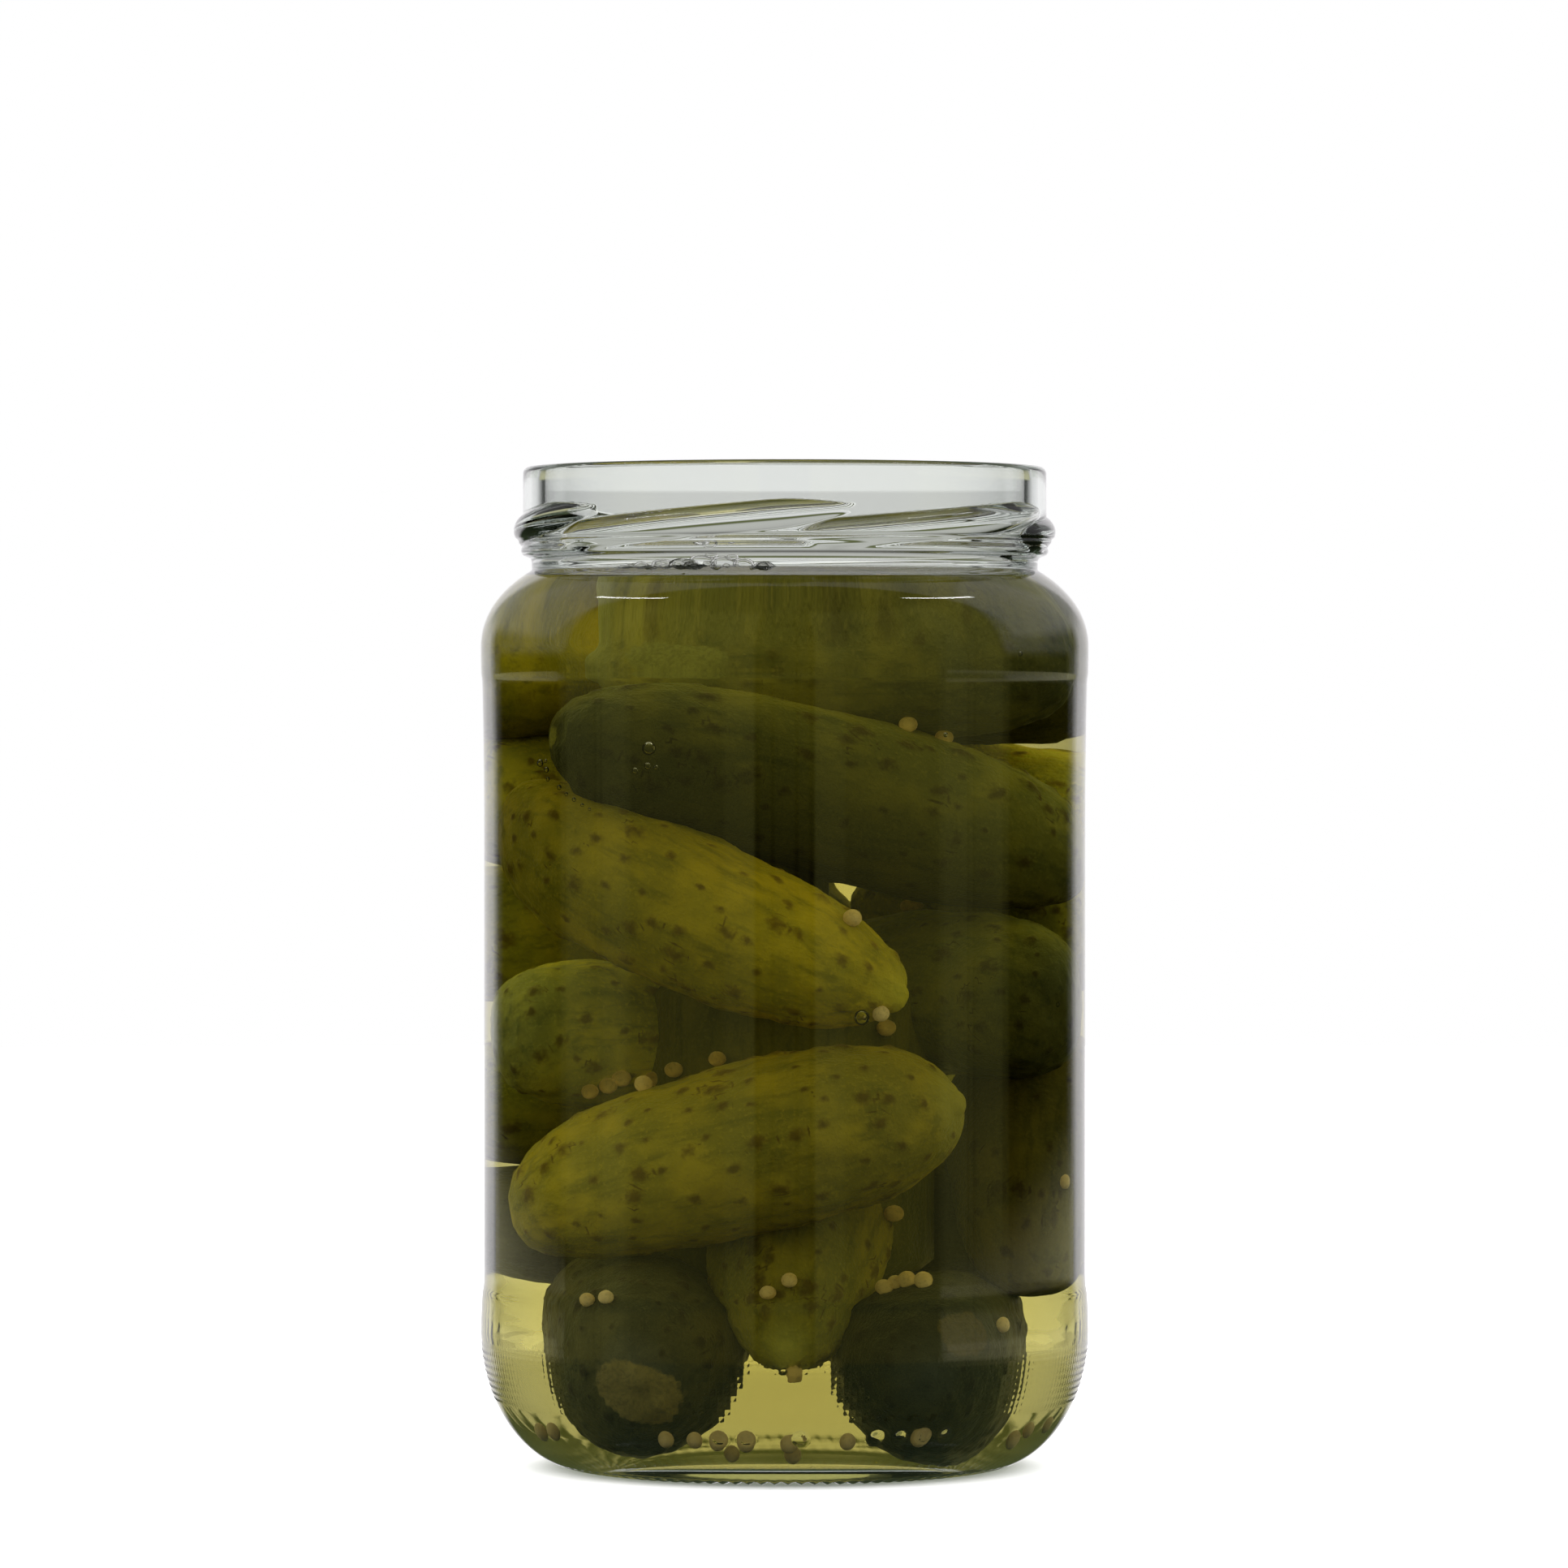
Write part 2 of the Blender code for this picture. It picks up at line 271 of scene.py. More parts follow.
def cavityLine(grow=0.0):
    # from the middle of the floor up to the mouth, or that much further into the glass
    s = jarShape
    floor, radius, mouth = s["floorHeight"], s["cavityRadius"] + grow, s["mouthRadius"] + grow
    center = (s["cornerCenter"], floor + s["cornerRise"])
    line = [(r, floor + rise - grow) for r, rise in floorSlope]
    line += ellipseArc(center, (radius - center[0], s["cornerRise"] + grow), -90, 0, 24)
    line += [(radius, z) for z in (30, 45, 60, 75, 90, 105, 117)]
    line += bezierArc((radius, 121.9), (radius, 129.5), (39.0 + grow, 131.2), (mouth, 136.2), 26)
    return line


def evenRows(top, bottom, step):
    return [top - i * step for i in range(round((top - bottom) / step) + 1)]


def finishRadius(z):
    # the glass behind the threads, with a shallow groove above the bead
    share = max(0.0, min(1.0, (140.6 - z) / 0.9))
    return jarShape["finishRadius"] - 0.25 * math.sin(math.pi * share) ** 2


def heelRadius(z):
    # a quarter of an ellipse, from the lower ring down to the foot
    s = jarShape
    drop = (s["lowerRing"] - z) / s["lowerRing"]
    return s["footOuter"] + (s["ringRadius"] - s["footOuter"]) * math.sqrt(max(0.0, 1 - drop ** 2))


def jarRings():
    # from the floor of the cavity over the rim and down to the push-up, and which rings are stippled
    s = jarShape
    rings = []

    def add(points, columns=s["columns"]):
        rings.extend((r, z, columns) for r, z in points)

    body, ring, bead, neck = s["bodyRadius"], s["ringRadius"], s["beadRadius"], s["neckRadius"]
    rim, rounding = s["height"] - s["rimRound"], (s["rimRound"], s["rimRound"])
    add(cavityLine())
    add((s["mouthRadius"], z) for z in (138.5, 141, 144, 147, rim))
    add(ellipseArc((s["mouthRadius"] + s["rimRound"], rim), rounding, 180, 90, 7)[1:])
    add(ellipseArc((s["finishRadius"] - s["rimRound"], rim), rounding, 90, 0, 8))
    add((s["finishRadius"], z) for z in (148.6, 147.2))
    threaded = evenRows(s["threadTop"], s["threadBottom"], s["threadRow"])
    add([(finishRadius(z), z) for z in threaded], s["threadColumns"])
    add([(bead - 0.15, 139.0), (bead - 0.03, 138.75), (bead, 138.5), (bead - 0.04, 138.2)])
    add([(bead - 0.22, 137.95), (bead - 0.55, 137.75), (neck + 0.6, 137.6), (neck + 0.25, 137.4)])
    add([(neck + 0.06, 137.1), (neck, 136.6)])
    add(bezierArc((neck, 135.6), (41.6, 133.6), (ring, 130.0), (ring, s["upperRing"]), 30))
    add((body + proud, z) for proud, z in panelLine)
    first = len(rings)
    dotted = evenRows(s["stippleTop"], s["stippleBottom"], s["stippleRow"])
    add([(heelRadius(z), z) for z in dotted], s["stippleColumns"])
    stippled = range(first + 1, len(rings) - 1)
    add([(heelRadius(z), z) for z in evenRows(9.6, 6.4, 0.32) + [5.8, 5.1, 4.4]], s["stippleColumns"])
    low = (3.7, 3.1, 2.5, 2.0, 1.55, 1.15, 0.8, 0.5, 0.28, 0.12, 0.03)
    add([(heelRadius(z), z) for z in low], s["footColumns"])
    add([(r, 0.0) for r in (30.6, 29.6, 28.8)], s["footColumns"])
    add([(28.3, 0.12), (27.6, 0.6), (27.0, 1.0), (24.0, 1.5), (17.0, 2.04), (8.0, 2.33), (0, s["pushUp"])])
    return rings, stippled


# relief on the glass: six tapered thread starts, the stippled heel, the knurled foot and the mould dots

relief = {
    "First angle": -57.0, "Thread span": 72.0, "Thread low": 139.9, "Thread high": 144.1,
    "Thread proud": 1.4, "Thread half width": 2.2, "Stipple depth": 0.085, "Knurl height": 0.45,
    "Knurls": 104.0, "Dot radius": 1.15, "Dot proud": 0.45,
}
# the shares of a start's length where it has swelled and begins to thin, and the form of its section
threadForm = {"starts": 6, "swell": 0.11, "thin": 0.74, "taper": 0.6, "narrowest": 0.3, "section": 0.85}
threadZone = {"outside": 39.0, "above": 136.0}
knurlZone = {"inner": (28.4, 29.4), "outer": (35.5, 33.0), "below": 2.2}
stipplePitch = {"rows": 3, "columns": 3, "fadeRows": 4}
mouldDots = {"radius": 42.55, "height": 7.8, "across": (-9.6, -5.6, 2.2, 13.4, 16.8, 20.4, 23.6)}


def threadHeight(size, turn, z, shift):
    # how far one thread start stands out, at this turn within its sixth of the neck
    form = threadForm
    t = calc("DIVIDE", calc("ADD", turn, shift), size["Thread span"])
    climb = minus(size["Thread high"], size["Thread low"])
    middle = calc("ADD", size["Thread low"], times(climb, t))
    blunt = ease(t, 0.0, form["swell"])
    pointed = ease(t, 1.0, form["thin"])
    taper = calc("POWER", times(blunt, pointed), form["taper"])
    share = calc("MULTIPLY_ADD", taper, 1.0 - form["narrowest"], form["narrowest"])
    width = times(size["Thread half width"], share)
    off = calc("DIVIDE", calc("ABSOLUTE", minus(z, middle)), width)
    dome = minus(1.0, calc("POWER", calc("MINIMUM", off, 1.0), 2.0))
    dome = calc("POWER", dome, form["section"])
    return times(dome, taper, size["Thread proud"])


def dotHeight(tree, size):
    near = addNode(tree, "GeometryNodeProximity", target_element="POINTS")
    dots = addNode(tree, "GeometryNodeObjectInfo", (size["Dots"],))
    feed(near, 0, dots.outputs["Geometry"])
    far = times(near.outputs["Distance"], 1000.0)
    far = calc("MINIMUM", calc("DIVIDE", far, size["Dot radius"]), 1.0)
    bulge = minus(1.0, calc("POWER", far, 2.0))
    return times(calc("POWER", bulge, 0.7), size["Dot proud"])


def knurlHeight(size, angle, radius, z):
    wave = calc("SINE", times(calc("RADIANS", angle), size["Knurls"]))
    valley = calc("MULTIPLY_ADD", wave, -0.5, 0.5)
    band = times(ease(radius, *knurlZone["inner"]), ease(radius, *knurlZone["outer"]))
    deep = times(calc("LESS_THAN", z, knurlZone["below"]), size["Knurl height"])
    return times(valley, band, deep)


def reliefTree():
    tree = newGroup("glassRelief")
    for name, value in relief.items():
        addInput(tree, name, "NodeSocketFloat", value)
    addInput(tree, "Dots", "NodeSocketObject")
    start = tree.nodes.new("NodeGroupInput")
    end = tree.nodes.new("NodeGroupOutput")
    size = start.outputs
    place = addNode(tree, "GeometryNodeInputPosition").outputs[0]
    x, y, height = axes(place)
    z = times(height, 1000.0)
    angle = calc("DEGREES", calc("ARCTAN2", x, times(y, -1.0)))
    flat = addNode(tree, "ShaderNodeCombineXYZ", (x, y, 0.0)).outputs[0]
    radius = times(vectorLength(flat), 1000.0)
    outward = vectorNode("NORMALIZE", flat).outputs[0]

    sixth = 360.0 / threadForm["starts"]
    turn = calc("FLOORED_MODULO", minus(angle, size["First angle"]), sixth)
    # the start that begins in this sixth, and the end of the one before
    heights = [threadHeight(size, turn, z, shift) for shift in (0.0, sixth)]
    proud = times(calc("MAXIMUM", *heights), calc("GREATER_THAN", radius, threadZone["outside"]))
    proud = times(proud, calc("GREATER_THAN", z, threadZone["above"]))
    threads = scaled(outward, times(proud, 0.001))

    dots = times(pointValue(tree, "stipple"), size["Stipple depth"])
    lift = times(calc("ADD", dotHeight(tree, size), dots), 0.001)
    bumps = scaled(addNode(tree, "GeometryNodeInputNormal").outputs[0], lift)
    knurl = times(knurlHeight(size, angle, radius, z), 0.001)
    knurl = addNode(tree, "ShaderNodeCombineXYZ", (0.0, 0.0, knurl)).outputs[0]
    total = vectorNode("ADD", vectorNode("ADD", threads, bumps).outputs[0], knurl).outputs[0]
    moved = addNode(tree, "GeometryNodeSetPosition", (start.outputs[0], None, None, total))
    feed(end, 0, moved.outputs[0])
    return tree


# a clear body absorbs (1 - tint) times the density, for each metre that light goes through it
glassLook = {"color": (0.977, 0.978, 0.975), "ior": 1.52, "tint": (0.20, 0.42, 0.28), "density": 20.0}
brineLook = {"color": (1.0, 1.0, 1.0), "ior": 1.34, "tint": (0.845, 0.77, 0.15), "density": 30.0}
foamLook = {"color": (1.0, 1.0, 1.0), "ior": 1.3, "tint": (0.9, 0.9, 0.8), "density": 5.0}
lightPassed = (0.96, 0.97, 0.96)  # share of the light that each clear surface lets through to what it holds


def clearMaterial(name, look):
    material, tree, shader, output = newMaterial(name)
    feed(shader, "Base Color", (*look["color"], 1))
    feed(shader, "Roughness", 0.0)
    feed(shader, "IOR", look["ior"])
    feed(shader, "Transmission Weight", 1.0)
    path = addNode(tree, "ShaderNodeLightPath")
    passing = addNode(tree, "ShaderNodeBsdfTransparent", ((*lightPassed, 1),))
    shaders = (shader.outputs[0], passing.outputs[0])
    mix = addNode(tree, "ShaderNodeMixShader", (path.outputs["Is Shadow Ray"], *shaders))
    feed(output, "Surface", mix.outputs[0])
    depth = addNode(tree, "ShaderNodeVolumeAbsorption", ((*look["tint"], 1), look["density"]))
    feed(output, "Volume", depth.outputs[0])
    return material


def buildJar():
    rings, stippled = jarRings()
    verts, faces, rows = turnedShell(rings)
    jar = meshObject("jarGlass", verts, faces, clearMaterial("clearGlass", glassLook))
    stipple = np.zeros(len(verts))
    for row in stippled:
        if row % stipplePitch["rows"]:
            continue
        start, count = rows[row]
        level = min(1.0, (row - stippled[0] + 1) / stipplePitch["fadeRows"])
        stipple[start:start + count:stipplePitch["columns"]] = level
    made = jar.data.attributes.new("stipple", "FLOAT", "POINT")
    made.data.foreach_set("value", stipple)
    radius, height = mouldDots["radius"], mouldDots["height"]
    places = [(x * mm, -math.sqrt(radius ** 2 - x ** 2) * mm, height * mm) for x in mouldDots["across"]]
    dots = meshObject("mouldDots", places, [])
    shaped(jar, reliefTree(), {**relief, "Dots": dots})
    bpy.data.objects.remove(dots, do_unlink=True)
    jar.data.shade_smooth()
    print("jar:", len(jar.data.polygons), "faces")
    return jar


# gherkins, in mm: stem end, blossom end, half thickness, bow of the middle, taper, colour of the skin, which
# is partly its own and partly painted light and shade: those at the back are painted brighter, some in front
# darker

gherkins = {
    "topFront": ((40, -10, 121.3), (-22, -1, 121.5), 11, (0, 0, 0), 0.05, (0.154, 0.154, 0.034)),
    "topLeft": ((-39, -3, 119.5), (-16, 30, 120.5), 10.2, (0, 0, 0), 0.05, (0.299, 0.271, 0.01)),
    "topBack": ((38, 8, 119), (-6, 28.5, 121.5), 10.5, (0, 0, 0), 0.05, (0.126, 0.126, 0.022)),
    "upperFront": ((-31.5, -22, 111.3), (38.5, 4, 90.5), 12.3, (-2, -4.5, 2.6), 0.05, (0.104, 0.104, 0.017)),
    "upperBackLeft": ((-38, 5, 101.5), (-6, 28, 97), 10.8, (0, 0, 1), 0.05, (0.5, 0.48, 0.055)),
    "upperBackRight": ((34, 17, 98), (-3, 32, 106), 10.2, (0, 0, -1.5), 0.05, (0.4, 0.385, 0.052)),
    "middleFront": (
        (-38, -7, 99.5), (15.4, -30.5, 71.8), 11.4, (-2, -4.5, -0.6), -0.1, (0.305, 0.252, 0.011)),
    "middleLeft": ((-38.5, -12, 66), (-3, 15, 66), 11, (0, 0, 0), 0.05, (0.308, 0.308, 0.055)),
    "middleRight": ((37.5, -14, 69.5), (5, 22, 73), 12.2, (0, 0, 0), 0.05, (0.108, 0.112, 0.022)),
    "middleBackLeft": ((-37.8, 11, 77.5), (5, 32.5, 84), 11, (0, 0, 1), 0.05, (0.42, 0.41, 0.045)),
    "middleBackRight": ((36.5, 10, 79), (8.5, 30.5, 86.5), 10, (0, 0, 0), 0.05, (0.4, 0.4, 0.06)),
    "backLow": ((-36, 15, 36.5), (32, 23, 39), 11, (0, 4.5, -1.5), 0.05, (0.108, 0.108, 0.015)),
    "backMiddle": ((-37.5, 13, 52.5), (16, 34.5, 63), 10.8, (0, 0, -1), 0.05, (0.42, 0.42, 0.062)),
    "lowerFront": ((-38, -12, 39), (23.5, -26, 56.5), 12.4, (0, -5, 1.2), 0.07, (0.301, 0.252, 0.019)),
    "lowerRight": ((31.5, -6, 26), (25, 18, 64), 11, (1, -2, 0), 0.05, (0.105, 0.096, 0.019)),
    "bottomLeft": ((-14, 14, 25), (-21, -34.6, 16.5), 12.8, (0, 0, 0), 0.05, (0.067, 0.064, 0.021)),
    "bottomMiddle": ((3.8, 12, 54.5), (0.2, -30, 19.4), 11.2, (0, 0, 0), -0.12, (0.296, 0.27, 0.032)),
    "bottomRight": ((16, 13, 20), (19.6, -35.5, 17.3), 12, (0, 0, 0), 0.05, (0.036, 0.036, 0.011)),
}
gherkinForm = {
    "frontMesh": (120, 112), "backMesh": (62, 68), "bluntness": 3.0, "lobes": 0.025,
    "swell": 0.55, "swellSize": 7.0, "pimple": 0.26, "pimpleSize": 2.0,
    "wartHeight": 0.26, "wartRadius": 1.5, "spotSpacing": 4.5, "spotLength": 0.72,
    "nubHeight": 0.9, "nubRadius": 2.3, "stemDip": 0.8, "dipRadius": 2.6, "endFrom": 0.9,
    "highest": 132.4,
}
# how bright the skin is painted at the stem end and at the blossom end, partly its own colour and partly
# painted light and shade, and how much lighter its upper side is painted as painted light from above (a
# negative share paints it darker)
fade = {
    "topFront": (0.55, 1.9, 0), "upperFront": (0.33, 1.7, 0.6), "middleFront": (0.6, 1.4, 0),
    "middleLeft": (0.9, 3.6, 0.2), "middleRight": (0.55, 3.6, 0.2), "lowerFront": (1.4, 0.85, 0),
    "bottomMiddle": (1.1, 1, -0.4), "bottomRight": (1, 1, -0.3), "lowerRight": (1.1, 1.3, 0),
    "upperBackRight": (2.2, 0.9, 0.2),
}
# gherkins whose spots hardly show
faint = {"topFront": 0.45, "topLeft": 0.4, "topBack": 0.2, "backLow": 0.3, "bottomRight": 0.7}
inFront = ("topFront", "upperFront", "middleFront", "middleLeft", "middleRight", "lowerFront",
           "bottomLeft", "bottomMiddle", "bottomRight")
# pale marks and painted highlights: gherkin, centre, direction of the long side, half length and half width
# in mm, colour. The first two are pale marks on the skin; the other two are painted highlights, a lit spot at
# upperFront's stem end and a bright rim on topFront
paleMarksAndHighlights = (
    ("bottomLeft", (-20.8, -34, 14.1), (1, 0.1, -0.28), 7, 4.4, (0.3, 0.235, 0.06)),
    ("bottomRight", (25.5, -32, 22.6), (1, 0.6, 0.1), 4.2, 3.4, (0.1, 0.076, 0.014)),
    # painted highlights: a lit spot at upperFront's stem end, and a bright rim on topFront
    ("upperFront", (-33.5, -20, 110), (0.2, 0, 1), 3.4, 1.8, (0.22, 0.2, 0.02)),
    ("topFront", (-13, -11.3, 122.4), (1, -0.5, -0.08), 7, 2.2, (0.42, 0.42, 0.1)),
)
# the plain lump inside the heap: radius and height in mm, sides, and its dark skin
coreLine = ((0, 114), (6, 114), (17, 109), (19, 96), (5, 90), (5, 81), (17, 72), (17, 32), (10, 25), (0, 25))
coreSides = 24
coreTone = (0.15, 0.15, 0.025)
markOrHighlightPower = 1.6  # a patch is a blunt ellipse
farOff = 9       # what a point without spots or patches has for their distance


def endWidth(along):
    return math.sqrt(max(0.0, 1 - abs(along) ** gherkinForm["bluntness"]))


def gherkinSurface(name, index):
    # a point of the smooth gherkin, from -1 at its stem to 1 at its blossom end and round it
    stem, blossom, girth, bow, taper, _ = gherkins[name]
    start = Vector(stem) * mm
    axis = Vector(blossom) * mm - start
    turn = axis.to_track_quat("Z", "Y").to_matrix()
    middle = start + axis / 2
    phase = index * 1.7

    def surface(along, around):
        width = endWidth(along)
        width *= 1 + taper * along
        width *= 1 + gherkinForm["lobes"] * math.cos(3 * around + phase)
        side = Vector((math.cos(around), math.sin(around), 0)) * girth * mm * width
        return middle + turn @ side + axis * along / 2 + Vector(bow) * mm * (1 - along * along)

    return surface, start, axis


def tubeFaces(rings, sides):
    # rows of quads between two poles
    faces = []
    last = 1 + (rings - 1) * sides
    for i in range(rings):
        for j in range(sides):
            k = (j + 1) % sides
            base = 1 + (i - 1) * sides
            if i == 0:
                faces.append((0, 1 + k, 1 + j))
            elif i == rings - 1:
                faces.append((base + j, base + k, last))
            else:
                faces.append((base + j, base + k, base + sides + k, base + sides + j))
    return faces


def skinSpots(surface, area, draw):
    # spots lie where the spines were, spaced unevenly: place and size
    spacing = gherkinForm["spotSpacing"]
    spots = []
    for _ in range(int(area / spacing ** 2 * 3)):
        spot = surface(draw.uniform(-0.93, 0.97), draw.uniform(0, 2 * math.pi))
        gap = spacing * mm * draw.uniform(0.6, 1.35)
        if all((spot - other[0]).length > gap for other in spots):
            spots.append((spot, draw.choice((0.7, 0.9, 1.2, 1.5)) * draw.uniform(0.85, 1.15)))
    tree = KDTree(len(spots))
    for i, spot in enumerate(spots):
        tree.insert(spot[0], i)
    tree.balance()
    return spots, tree


def smoothNormals(verts, faces):
    mesh = bpy.data.meshes.new("probe")
    mesh.from_pydata(verts, [], faces)
    normals = [v.normal.copy() for v in mesh.vertices]
    bpy.data.meshes.remove(mesh)
    return normals


def endLift(along, fromStem, fromBlossom):
    # the dried flower stands out as a nub, and the stem end is dimpled
    f = gherkinForm
    if along > f["endFrom"]:
        return f["nubHeight"] * max(0.0, 1 - (fromBlossom / (f["nubRadius"] * mm)) ** 2)
    if along < -f["endFrom"]:
        return -f["stemDip"] * max(0.0, 1 - (fromStem / (f["dipRadius"] * mm)) ** 2)
    return 0.0


def nearestMarkOrHighlight(name, point, tone):
    # how far the point lies from the nearest pale mark or painted highlight, where 1 is its edge, and its
    # colour
    nearest, scarTone = (farOff, farOff, 0), tone
    for owner, center, long, halfLong, halfWide, ownTone in paleMarksAndHighlights:
        if owner != name:
            continue
        offset = point * 1000 - Vector(center)
        longWay = Vector(long).normalized()
        lengthwise = offset.dot(longWay)
        across = (offset - longWay * lengthwise).length
        place = (abs(lengthwise / halfLong) ** markOrHighlightPower, (across / halfWide) ** markOrHighlightPower, 0)
        if math.hypot(*place) < math.hypot(*nearest):
            nearest, scarTone = place, ownTone
    return nearest, scarTone


def gherkinMesh(name, index):
    girth, tone = gherkins[name][2], gherkins[name][5]
    f = gherkinForm
    rings, sides = f["frontMesh" if name in inFront else "backMesh"]
    surface, start, axis = gherkinSurface(name, index)
    axisWay = axis.normalized()
    verts, local = [], []
    for i in range(rings + 1):
        along = -math.cos(math.pi * i / rings)
        around = [2 * math.pi * j / sides for j in range(sides)] if 0 < i < rings else [0.0]
        reach = girth * endWidth(along)
        for angle in around:
            verts.append(surface(along, angle))
            local.append((reach * math.cos(angle), reach * math.sin(angle), along * axis.length * 500, along))
    faces = tubeFaces(rings, sides)
    area = 2 * math.pi * girth * axis.length * 1000
    spots, tree = skinSpots(surface, area, random.Random(100 + index))
    shift = Vector((index * 13.1, index * 7.7, index * 3.3))  # each gherkin has its own piece of the pattern
    stemTone, blossomTone, paintedUpperLight = fade.get(name, (1.0, 1.0, 0.15))
    placed = []
    extra = {key: [] for key in ("toSpot", "skin", "toScar", "tone", "scarTone", "ends")}
    for vert, normal, (u, v, w, along) in zip(verts, smoothNormals(verts, faces), local):
        q = Vector((u, v, w)) + shift
        where, number, far = tree.find(vert)
        size = spots[number][1]
        near = max(0.0, 1 - (far / (f["wartRadius"] * mm)) ** 2)
        lift = f["swell"] * noise.noise(q / f["swellSize"])
        lift += f["pimple"] * noise.noise(q / f["pimpleSize"])
        lift += f["wartHeight"] * size * near * near
        lift += endLift(along, (vert - start).length, (vert - (start + axis)).length)
        spot = vert + normal * lift * mm
        spot.z = min(spot.z, f["highest"] * mm)
        placed.append(spot)
        way = vert - where
        lengthwise = axisWay * way.dot(axisWay)
        way = (way - lengthwise) + lengthwise * f["spotLength"]  # spots are longer along the gherkin
        share = (along + 1) / 2
        # painted light and shade: the brightness runs from the stem to the blossom end, and the upper side is
        # painted lighter as if lit from above
        level = (stemTone + (blossomTone - stemTone) * share) * max(0.3, 1 + paintedUpperLight * normal.z)
        toScar, scarTone = nearestMarkOrHighlight(name, vert, tone)
        shaded = [channel * level for channel in tone]
        ends = (along, far * 1000 / size, faint.get(name, 1.0))
        for key, value in zip(extra, (way * 1000 / size, q, toScar, shaded, scarTone, ends)):
            extra[key].append(value)
    return placed, faces, extra


# colours are shares of the gherkin's tone, which carries its painted light and shade
skinLook = {
    "broadSize": 0.09, "streakSize": 0.42, "streakStretch": 0.22, "fineSize": 1.6, "wobbleSize": 0.9,
    "pale": (1.75, 1.6, 1.15), "streak": (0.5, 0.56, 0.7), "fleck": (1.7, 1.55, 1.5),
    "tip": (1.8, 1.9, 3.2), "spot": (0.46, 0.34, 0.35), "markOrHighlightFleck": (0.6, 0.6, 0.7),
    "roughness": (0.34, 0.5), "ior": 1.14, "bump": 0.7, "bumpHeight": 0.0006,
}


def skinMaterial():
    material, tree, shader, _ = newMaterial("gherkinSkin")
    look = skinLook

    def attribute(name):
        return addNode(tree, "ShaderNodeAttribute", attribute_name=name).outputs["Vector"]

    def washed(color, share, tint):
        return mixed(share, color, tinted(tone, look[tint]))

    # the tone attribute holds the skin colour with its painted light and shade
    skin, tone, scarTone = attribute("skin"), attribute("tone"), attribute("scarTone")
    broad = noiseLevel(skin, look["broadSize"], 3.0, 0.55)
    stretched = addNode(tree, "ShaderNodeMapping", (skin,))
    feed(stretched, "Scale", (1.0, 1.0, look["streakStretch"]))
    streaks = noiseLevel(stretched.outputs[0], look["streakSize"], 4.0, 0.6)
    fine = noiseLevel(skin, look["fineSize"], 3.0, 0.6)
    wobble = noiseLevel(skin, look["wobbleSize"], 2.0)
    along, spotFar, spotStrength = axes(attribute("ends"))
    color = washed(tone, ease(broad, 0.38, 0.66, 0.0, 0.9), "pale")
    color = washed(color, ease(streaks, 0.47, 0.7, 0.0, 0.6), "streak")
    color = washed(color, ease(fine, 0.5, 0.75, 0.0, 0.55), "fleck")
    color = washed(color, ease(along, 0.9, 1.0, 0.0, 0.55), "tip")
    reach = vectorLength(attribute("toSpot"))
    reach = calc("ADD", reach, calc("MULTIPLY_ADD", wobble, 1.7, -0.85))
    spot = ease(reach, 1.15, 0.1, 0.0, 0.85)
    # where the nearest spot changes, the distances jump, so spots end before that
    spot = times(spot, calc("LESS_THAN", spotFar, 1.7))
    color = washed(color, times(spot, spotStrength), "spot")
    # pale marks and painted highlights: within their edge the skin takes their flecked colour
    edge = vectorLength(attribute("toScar"))
    edge = calc("ADD", edge, calc("MULTIPLY_ADD", wobble, 0.5, -0.25))
    markOrHighlightColor = mixed(ease(fine, 0.4, 0.65, 0.0, 0.5), scarTone, tinted(scarTone, look["markOrHighlightFleck"]))
    color = mixed(ease(edge, 1.05, 0.8), color, markOrHighlightColor)
    feed(shader, "Base Color", color)
    feed(shader, "Roughness", ease(broad, 0.3, 0.7, *look["roughness"]))
    feed(shader, "IOR", look["ior"])
    bump = addNode(tree, "ShaderNodeBump")
    feed(bump, "Strength", look["bump"])
    feed(bump, "Distance", look["bumpHeight"])
    feed(bump, "Height", calc("ADD", fine, times(streaks, 0.6)))
    feed(shader, "Normal", bump.outputs[0])
    return material


def addCore(verts, faces, extra):
    base = len(verts)
    some, sides, _ = turnedShell([(r, z, coreSides) for r, z in reversed(coreLine)])
    verts += [Vector(v) for v in some]
    faces += [tuple(base + i for i in reversed(side)) for side in sides]
    plain = {
        "tone": coreTone, "scarTone": coreTone,
        "toSpot": (farOff, farOff, farOff), "toScar": (farOff, farOff, 0), "ends": (0, farOff, 0),
    }
    for key in extra:
        extra[key] += [Vector(v) * 1000 if key == "skin" else plain[key] for v in some]


def heapPiece(name, members, material, core=False):
    verts, faces, extra = [], [], {}
    for member in members:
        some, sides, values = gherkinMesh(member, list(gherkins).index(member))
        base = len(verts)
        verts += some
        faces += [tuple(base + i for i in side) for side in sides]
        for key, value in values.items():
            extra.setdefault(key, []).extend(value)
    if core:
        addCore(verts, faces, extra)
    piece = meshObject(name, verts, faces, material)
    for key, values in extra.items():
        made = piece.data.attributes.new(key, "FLOAT_VECTOR", "POINT")
        made.data.foreach_set("vector", np.array([tuple(v) for v in values], dtype=np.float32).ravel())
    print(name + ":", len(faces), "faces")
    return piece


# mustard seeds: X and height of those in front, as in the heap's own solid, then those on the floor

